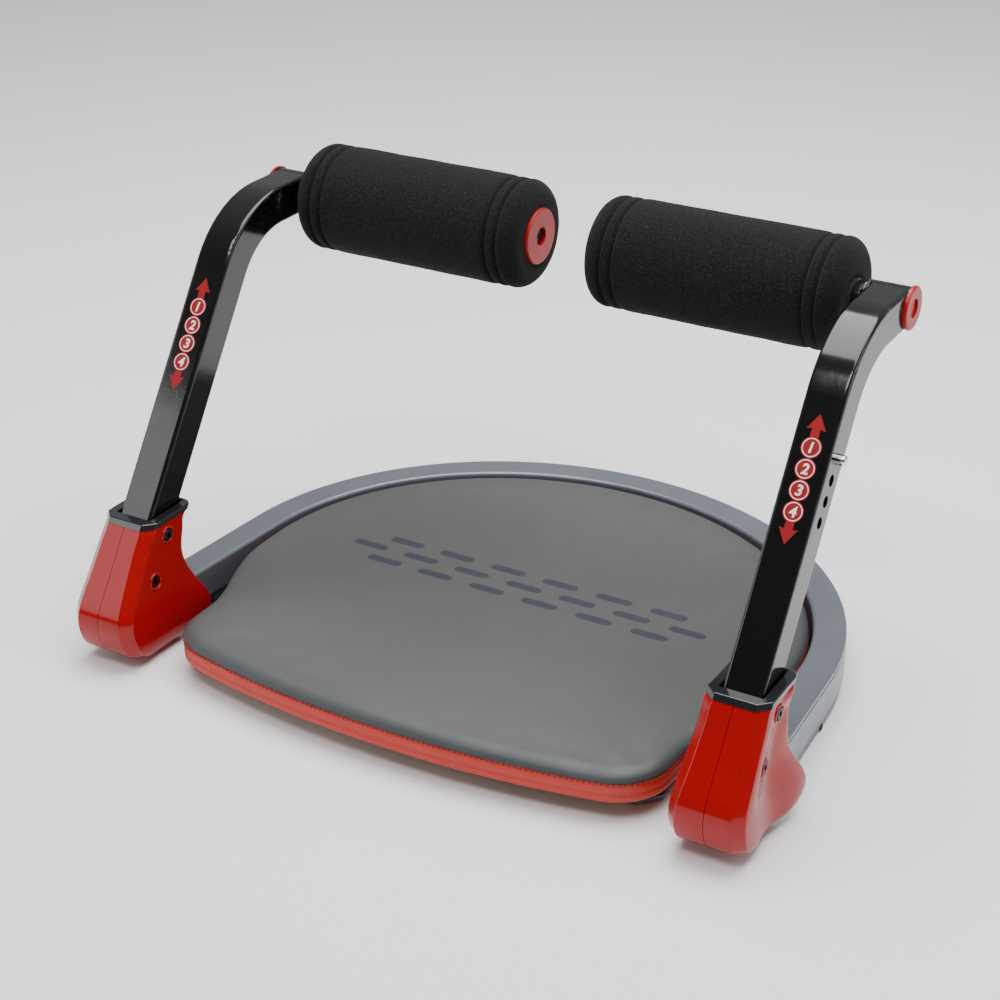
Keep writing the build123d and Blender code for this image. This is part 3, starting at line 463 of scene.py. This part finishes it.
def filling_moves(obj, voxel, pressure, cap, held_below):
    """How a stuffed cover of this closed shape swells: a remeshed copy is run as pressured cloth.
    Returns where its points start and how far each moves, capped."""
    trial = obj.copy()
    trial.data = obj.data.copy()
    bpy.context.collection.objects.link(trial)
    remesh = trial.modifiers.new("remesh", "REMESH")
    remesh.mode, remesh.voxel_size = "VOXEL", voxel
    even = trial.modifiers.new("even", "SMOOTH")
    even.iterations, even.factor = 6, 0.5
    apply_modifiers(trial)
    start = np.array([v.co for v in trial.data.vertices])
    held = trial.vertex_groups.new(name="held")
    held.add([int(i) for i in np.flatnonzero(start[:, 2] < held_below)], 1.0, "REPLACE")
    settings = trial.modifiers.new("cloth", "CLOTH").settings
    settings.quality, settings.mass = 6, 0.3
    settings.tension_stiffness = settings.compression_stiffness = 15.0
    settings.shear_stiffness, settings.bending_stiffness = 5.0, 0.6
    settings.use_pressure, settings.uniform_pressure_force = True, pressure
    settings.vertex_group_mass, settings.effector_weights.gravity = "held", 0.0
    for step in range(1, CLOTH_FRAMES + 1):
        bpy.context.scene.frame_set(step)
    apply_modifiers(trial)
    moved = np.array([v.co for v in trial.data.vertices]) - start
    far = np.linalg.norm(moved, axis=1, keepdims=True)
    moved *= cap * np.tanh(far / cap) / np.maximum(far, 1e-9)
    bpy.context.scene.frame_set(1)
    bpy.data.objects.remove(trial)
    return start, moved


def swell(obj, start, moved, reach, floor_z):
    """Moves each point above floor_z by the smoothed movement of the trial's points near it."""
    neighbours, ease_in = 14, 0.002
    tree = KDTree(len(start))
    for i, point in enumerate(start):
        tree.insert(point, i)
    tree.balance()
    for vertex in obj.data.vertices:
        if vertex.co.z > floor_z:
            near = tree.find_n(vertex.co, neighbours)
            weights = np.array([math.exp(-(far / reach) ** 2) + 1e-6 for _, _, far in near])
            step = (moved[[i for _, i, _ in near]] * weights[:, None]).sum(0) / weights.sum()
            vertex.co += Vector(step * min(1.0, (vertex.co.z - floor_z) / ease_in))


def seat_cushion(plan, normal):
    """The grey top of the pad: it overhangs the band a little, rolls over its edge and is crowned by its
    filling."""
    roll_z, roll_width = SEAM_Z + 0.0006, 0.0120
    side = [(0.0030, CUSHION_BASE_Z), (0.0024, 0.0300), (0.0019, 0.0326), (0.0008, 0.0329)]
    side += edge_roll(0.0002, roll_z, roll_width, CUSHION_TOP_Z - roll_z)
    columns = len(plan)
    vertices = around(plan, normal, side)
    rim = np.array(vertices[-columns:])[:, :2]
    centre = np.array([0.0, SEAT_CENTRE_Y])
    shares = [0.99, 0.975, 0.955, 0.93, 0.90, *np.linspace(0.87, 0.04, 36)]
    for share in shares:
        vertices += [(*(centre + (p - centre) * share), CUSHION_TOP_Z) for p in rim]
    rows = len(side) + len(shares)
    faces = ring_faces(rows, columns)
    faces += [tuple(range(columns - 1, -1, -1)), tuple((rows - 1) * columns + c for c in range(columns))]
    cushion = outward(make_object("seat_cushion", vertices, faces, MATERIALS["seat_vinyl"]))
    start, moved = filling_moves(cushion, voxel=0.0045, pressure=4.0, cap=0.0012, held_below=SEAM_Z)
    swell(cushion, start, moved, reach=0.006, floor_z=SEAM_Z)
    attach(cushion, "base")
    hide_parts("seat_pad")


def seat_band(plan, normal):
    """The red side band: two strips with a fold between them, turned in under the board's edge."""
    section = [
        (0.0024, 0.0322), (0.0010, 0.0326), (0.0004, 0.0320), (-0.0002, 0.0300), (-0.0004, 0.0275),
        (-0.0003, 0.0254), (0.0001, 0.0244), (-0.0003, 0.0234), (-0.0004, 0.0215), (-0.0002, 0.0195),
        (0.0003, 0.0180), (0.0012, 0.0172), (0.0030, 0.01705), (0.0062, 0.01705), (0.0064, 0.0180),
        (0.0034, 0.0183), (0.0024, 0.0200), (0.0024, 0.0260),
    ]
    uneven, waves = 0.00022, (55, 55, 90)
    vertices = around(plan, normal, section)
    normals = np.tile(normal, (len(section), 1))
    shaped = []
    for (x, y, z), out in zip(vertices, normals):
        shift = noise.noise(Vector((x * waves[0], y * waves[1], z * waves[2]))) * uneven
        shaped.append((x + out[0] * shift, y + out[1] * shift, z))
    faces = ring_faces(len(section), len(plan), True)
    band = outward(make_object("seat_side_band", shaped, faces, MATERIALS["seat_trim"]))
    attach(band, "base")


def capsule(a, b, out, radius):
    """Vertices and faces of one raised stitch from a to b."""
    axis = (b - a).normalized()
    side = axis.cross(out).normalized()
    rings, columns = ((0.0, 0.25), (0.14, 0.75), (0.5, 1.0), (0.86, 0.75), (1.0, 0.25)), 6
    vertices = []
    for along, share in rings:
        lift = radius * 0.9 * math.sin(math.pi * along)
        for c in range(columns):
            turn = 2 * math.pi * c / columns
            off = side * math.cos(turn) + out * math.sin(turn)
            vertices.append(a.lerp(b, along) + off * radius * share + out * lift)
    return vertices, ring_faces(len(rings), columns) + cap_faces(len(vertices), columns)


def stitch_row(name, plan, normal, total, inset, z, pitch, share, radius, material):
    """A row of stitches round the seat at one inset and height; share is the stitched part of the pitch."""
    count = int(total / pitch)
    vertices, faces = [], []
    for i in range(count):
        ends = []
        for step in (0.0, share):
            at = (i + step) / count * len(plan)
            k, part = int(at) % len(plan), at - int(at)
            p = plan[k] * (1 - part) + plan[(k + 1) % len(plan)] * part - normal[k] * inset
            ends.append(Vector((*p, z)))
        out = Vector((*normal[k], 0.0))
        more, quads = capsule(*ends, out, radius)
        faces += [tuple(f + len(vertices) for f in quad) for quad in quads]
        vertices += more
    row = outward(make_object(name, vertices, faces, material))
    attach(row, "base")


# ---- rollers -----------------------------------------------------------------------------
def foam_roller(side, sign):
    """Foam sleeve with soft rounded ends and two pressed grooves near each end."""
    step, columns, skin = 0.0006, 144, 0.0003
    groove_shape = ((0.0026, 0.0012), (0.0006, 0.0035))
    low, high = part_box(f"foam_roller_{side}")
    centre_y, centre_z = (low.y + high.y) / 2, (low.z + high.z) / 2
    radius, length, corner, bore = (high.z - low.z) / 2, high.x - low.x, 0.0135, 0.0143
    start = low.x if sign > 0 else high.x
    grooves = [0.016, 0.0255]
    grooves += [length - g for g in grooves]
    profile = [(0.0022, bore), (0.0008, bore + 0.001), (0.0002, bore + 0.004), (0.0, radius - corner - 0.006)]
    for a in np.linspace(0, math.pi / 2, 14):
        profile.append((corner * (1 - math.cos(a)), radius - corner + corner * math.sin(a)))
    end = profile[::-1]
    profile += [(s, radius) for s in np.arange(corner + step, length - corner, step)]
    profile += [(length - s, r) for s, r in end]
    shaped = []
    for s, r in profile:
        pinch = sum(
            depth * math.exp(-((s - g) / width) ** 2) for g in grooves for depth, width in groove_shape)
        shaped.append((s, r - pinch if r > radius - 0.004 else r))
    vertices = []
    for s, r in shaped:
        for c in range(columns):
            turn = 2 * math.pi * c / columns
            way = Vector((0.0, math.cos(turn), math.sin(turn)))
            place = Vector((start + sign * s, centre_y, centre_z)) + way * r
            if r > bore + 0.005:
                uneven = noise.noise(place * 45) * 0.00022 + noise.noise(place * 190) * 0.00010
                place += way * (uneven - skin)
            vertices.append(place)
    faces = ring_faces(len(shaped), columns, True)
    foam = outward(make_object(f"foam_sleeve_{side}", vertices, faces, MATERIALS["roller_foam"]))
    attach(foam, f"roller_{side}")
    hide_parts(f"foam_roller_{side}")


# ---- height marks ------------------------------------------------------------------------
def face_matrix(x, along, lift):
    """Places flat art on the arm's front face: its x across, its y up the arm."""
    out = -ACROSS
    at = arm_point(x, along, -TUBE_HALF - lift)
    return Matrix((
        (1, ALONG.x, out.x, at.x), (0, ALONG.y, out.y, at.y), (0, ALONG.z, out.z, at.z), (0, 0, 0, 1)))


def flat_art(name, outlines, material):
    """One thin printed piece from closed outlines: (outer points, inner points or None, lift) each."""
    shape = bmesh.new()
    for outer, inner, lift in outlines:
        loops = []
        for z, turned in ((lift, False), (lift - INK_DEPTH, True)):
            ring = [shape.verts.new((*p, z)) for p in outer]
            hole = [shape.verts.new((*p, z)) for p in inner] if inner else None
            if hole:
                faces = zip(ring, ring[1:] + ring[:1], hole[1:] + hole[:1], hole)
            else:
                faces = [tuple(ring)]
            for face in faces:
                shape.faces.new(face[::-1] if turned else face)
            loops.append((ring, hole))
        for top, bottom in zip(*loops):
            if top:
                for i in range(len(top)):
                    j = (i + 1) % len(top)
                    shape.faces.new((top[i], bottom[i], bottom[j], top[j]))
    bmesh.ops.recalc_face_normals(shape, faces=shape.faces)
    mesh = bpy.data.meshes.new(name)
    shape.to_mesh(mesh)
    shape.free()
    mesh.materials.append(material)
    obj = bpy.data.objects.new(name, mesh)
    bpy.context.collection.objects.link(obj)
    return obj


def circle(radius, y, count=48):
    """Points round a circle on the art's centre line, at y along the arm."""
    turns = [2 * math.pi * i / count for i in range(count)]
    return [(radius * math.cos(turn), y + radius * math.sin(turn)) for turn in turns]


def digit(text, along):
    """A bold slanted digit as a flat mesh."""
    curve = bpy.data.curves.new("digit", "FONT")
    curve.body, curve.size, curve.shear, curve.offset = text, DIGIT_SIZE, DIGIT_SLANT, DIGIT_BOLD
    curve.align_x, curve.align_y, curve.extrude = "CENTER", "CENTER", INK_DEPTH / 2
    source = bpy.data.objects.new("digit", curve)
    bpy.context.collection.objects.link(source)
    bpy.context.view_layer.update()
    mesh = bpy.data.meshes.new_from_object(source.evaluated_get(bpy.context.evaluated_depsgraph_get()))
    bpy.data.objects.remove(source)
    points = np.array([v.co for v in mesh.vertices])
    middle = (points.max(0) + points.min(0)) / 2
    mesh.transform(Matrix.Translation((-middle[0], along - middle[1], WHITE_LIFT)))
    return mesh


def height_marks(side, sign):
    """Numbers 1 to 4 in ringed discs with an arrow above and below, on the arm's front face."""
    red, white = [], []
    for along in HOLES_ALONG:
        red.append((circle(DISC_R, along), None, DISC_LIFT))
        white.append((circle(RING_OUT_R, along), circle(RING_IN_R, along), WHITE_LIFT))
    for end, way in ARROW_ENDS:
        base = end - way * ARROW_LENGTH
        barb = base - way * ARROW_BARB
        tail = (HOLES_ALONG[0] if way > 0 else HOLES_ALONG[-1]) + way * SHAFT_START
        arrow = [
            (0, end), (-ARROW_HALF, barb), (-SHAFT_HALF, base), (-SHAFT_HALF, tail),
            (SHAFT_HALF, tail), (SHAFT_HALF, base), (ARROW_HALF, barb),
        ]
        red.append((arrow, None, RED_LIFT))
    marks_red = flat_art(f"height_marks_red_{side}", red, INK_RED)
    marks_white = flat_art(f"height_marks_white_{side}", white, INK_WHITE)
    joined = bmesh.new()
    joined.from_mesh(marks_white.data)
    for number, along in enumerate(HOLES_ALONG, 1):
        mesh = digit(str(number), along)
        joined.from_mesh(mesh)
        bpy.data.meshes.remove(mesh)
    joined.to_mesh(marks_white.data)
    joined.free()
    for obj in (marks_red, marks_white):
        obj.data.transform(face_matrix(sign * SIDE_X, 0.0, LABEL_LIFT))
        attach(obj, f"sliding_arm_{side}")


# ---- welds and rims ----------------------------------------------------------------------
def tube(name, body, points, outs, sizes, closed, material):
    """A round run along a line of points; outs tell where its own "up" is."""
    rows, columns, vertices = len(points), 10, []
    for i, (p, out, size) in enumerate(zip(points, outs, sizes)):
        before = points[i - 1] if closed or i else p
        after = points[(i + 1) % rows] if closed or i < rows - 1 else p
        axis = (after - before).normalized()
        side = axis.cross(out).normalized()
        up = side.cross(axis).normalized()
        for c in range(columns):
            turn = 2 * math.pi * c / columns
            vertices.append(p + (side * math.cos(turn) + up * math.sin(turn)) * size)
    faces = ring_faces(rows, columns, closed)
    if not closed:
        faces += cap_faces(len(vertices), columns)
    obj = outward(make_object(name, vertices, faces, material))
    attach(obj, body)


def sleeve_weld(side, sign):
    """The rippled weld that joins the cross sleeve to the arm tube's inner face."""
    bead, sunk, beads = 0.0014, 0.0004, 70
    low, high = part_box(f"axle_sleeve_{side}")
    y, z, radius = (low.y + high.y) / 2, (low.z + high.z) / 2, (high.z - low.z) / 2
    x = sign * (SIDE_X - TUBE_HALF - sunk)
    turns = np.linspace(math.radians(88), math.radians(272), beads)
    outs = [Vector((0, math.cos(t), math.sin(t))) for t in turns]
    points = [Vector((x, y, z)) + out * (radius + 0.0002) for out in outs]
    sizes = []
    for i in range(beads):
        end = min(i, beads - 1 - i)
        ripple = 1 + 0.08 * math.sin(i * 1.7) + 0.12 * noise.noise(Vector((i * 0.37, sign, 0)))
        sizes.append(bead * min(1.0, 0.35 + 0.25 * end) * ripple)
    tube(f"sleeve_weld_{side}", f"sliding_arm_{side}", points, outs, sizes, closed=False,
         material=WELD_PAINT)


def screw_rims(side, sign):
    """A raised rim round each of the boot's screw recesses, laid on the boot's own surface."""
    rim_r, rim_size, count, outside = 0.0062, 0.0011, 48, 0.06
    for half, way in (("inner", -1), ("outer", 1)):
        boot = NODES[f"boot_{half}_half_{side}"]
        for number, along in enumerate(BOOT_SCREWS, 1):
            centre = arm_point(sign * (SIDE_X + way * outside), along, 0.0)
            out = Vector((sign * way, 0, 0))
            points = []
            for i in range(count):
                turn = 2 * math.pi * i / count
                start = centre + Vector((0, math.cos(turn), math.sin(turn))) * rim_r
                hit, place, _, _ = boot.ray_cast(start, -out)
                if hit:
                    points.append(place)
            outs, sizes = [out] * len(points), [rim_size] * len(points)
            tube(f"boot_rim_{half}_{number}_{side}", f"swing_arm_{side}", points, outs, sizes, closed=True,
                 material=MATERIALS["boot_plastic"])


# ---- studio ------------------------------------------------------------------------------
def studio():
    """The pale floor, a sky that is brighter behind the part than in front of it, and four soft lights."""
    half = 7.0
    corners = [(-half, -half, 0), (half, -half, 0), (half, half, 0), (-half, half, 0)]
    floor = make_object("studio_floor", corners, [(0, 1, 2, 3)], floor_material(), False)
    world = bpy.data.worlds.new("studio")
    world.use_nodes = True
    tree = world.node_tree
    backdrop = tree.nodes["Background"]
    split = tree.nodes.new("ShaderNodeSeparateXYZ")
    level = tree.nodes.new("ShaderNodeMapRange")
    tree.links.new(tree.nodes.new("ShaderNodeTexCoord").outputs["Generated"], split.inputs[0])
    tree.links.new(split.outputs["Y"], level.inputs["Value"])
    tree.links.new(level.outputs[0], backdrop.inputs["Strength"])
    for key, value in (("From Min", -0.75), ("From Max", 0.10), ("To Min", 0.13), ("To Max", 0.42)):
        level.inputs[key].default_value = value
    backdrop.inputs["Color"].default_value = (0.96, 0.98, 1.0, 1.0)
    bpy.context.scene.world = world
    lights = (
        ("overhead", (0.10, 0.35, 2.1), (0.0, 0.0, 0.1), 2.2, 1.8, 82.0),
        ("right_card", (2.2, 0.5, 0.9), (0.0, 0.0, 0.1), 1.2, 1.4, 11.0),
        ("left_card", (-1.30, -1.05, 0.62), (-0.25, -0.1, 0.15), 0.9, 0.7, 6.0),
        ("front_fill", (0.3, -1.5, 2.6), (0.0, 0.0, 0.0), 1.8, 0.7, 38.0),
    )
    for name, place, aim, width, height, power in lights:
        data = bpy.data.lights.new(name, "AREA")
        data.shape, data.size, data.size_y, data.energy = "RECTANGLE", width, height, power
        lamp = bpy.data.objects.new(name, data)
        lamp.location = place
        lamp.rotation_euler = (Vector(aim) - Vector(place)).to_track_quat("-Z", "Y").to_euler()
        bpy.context.collection.objects.link(lamp)


def camera():
    """The camera at the reference view; its angle was measured, not set by eye."""
    azimuth, elevation, roll = math.radians(30.16), math.radians(26.93), math.radians(-0.17)
    level = math.cos(elevation)
    back = Vector((math.sin(azimuth) * level, -math.cos(azimuth) * level, math.sin(elevation)))
    right = (-back).cross(Vector((0, 0, 1))).normalized()
    up = back.cross(right)
    right, up = right * math.cos(roll) + up * math.sin(roll), up * math.cos(roll) - right * math.sin(roll)
    data = bpy.data.cameras.new("camera")
    data.lens, data.sensor_width = 76.1, 36.0
    data.clip_start, data.clip_end = 0.05, 50.0
    obj = bpy.data.objects.new("camera", data)
    turned = Matrix((right, up, back)).transposed().to_4x4()
    obj.matrix_world = Matrix.Translation((0.7214, -1.2851, 0.8660)) @ turned
    bpy.context.collection.objects.link(obj)
    bpy.context.scene.camera = obj


paint_cad()
plan, normal, total = seat_plan(560)
seat_cushion(plan, normal)
seat_band(plan, normal)
stitch_row("seat_seam_stitch", plan, normal, total, inset=-0.0003, z=0.0324, pitch=0.0042, share=0.55,
           radius=0.00050, material=THREAD_DARK)
stitch_row("seat_band_stitch_upper", plan, normal, total, inset=-0.0001, z=0.0260, pitch=0.0036, share=0.66,
           radius=0.00022, material=THREAD_RED)
stitch_row("seat_band_stitch_lower", plan, normal, total, inset=-0.0001, z=0.0227, pitch=0.0036, share=0.66,
           radius=0.00024, material=THREAD_RED)
for side, sign in SIDES:
    foam_roller(side, sign)
    height_marks(side, sign)
    sleeve_weld(side, sign)
    screw_rims(side, sign)
studio()
camera()
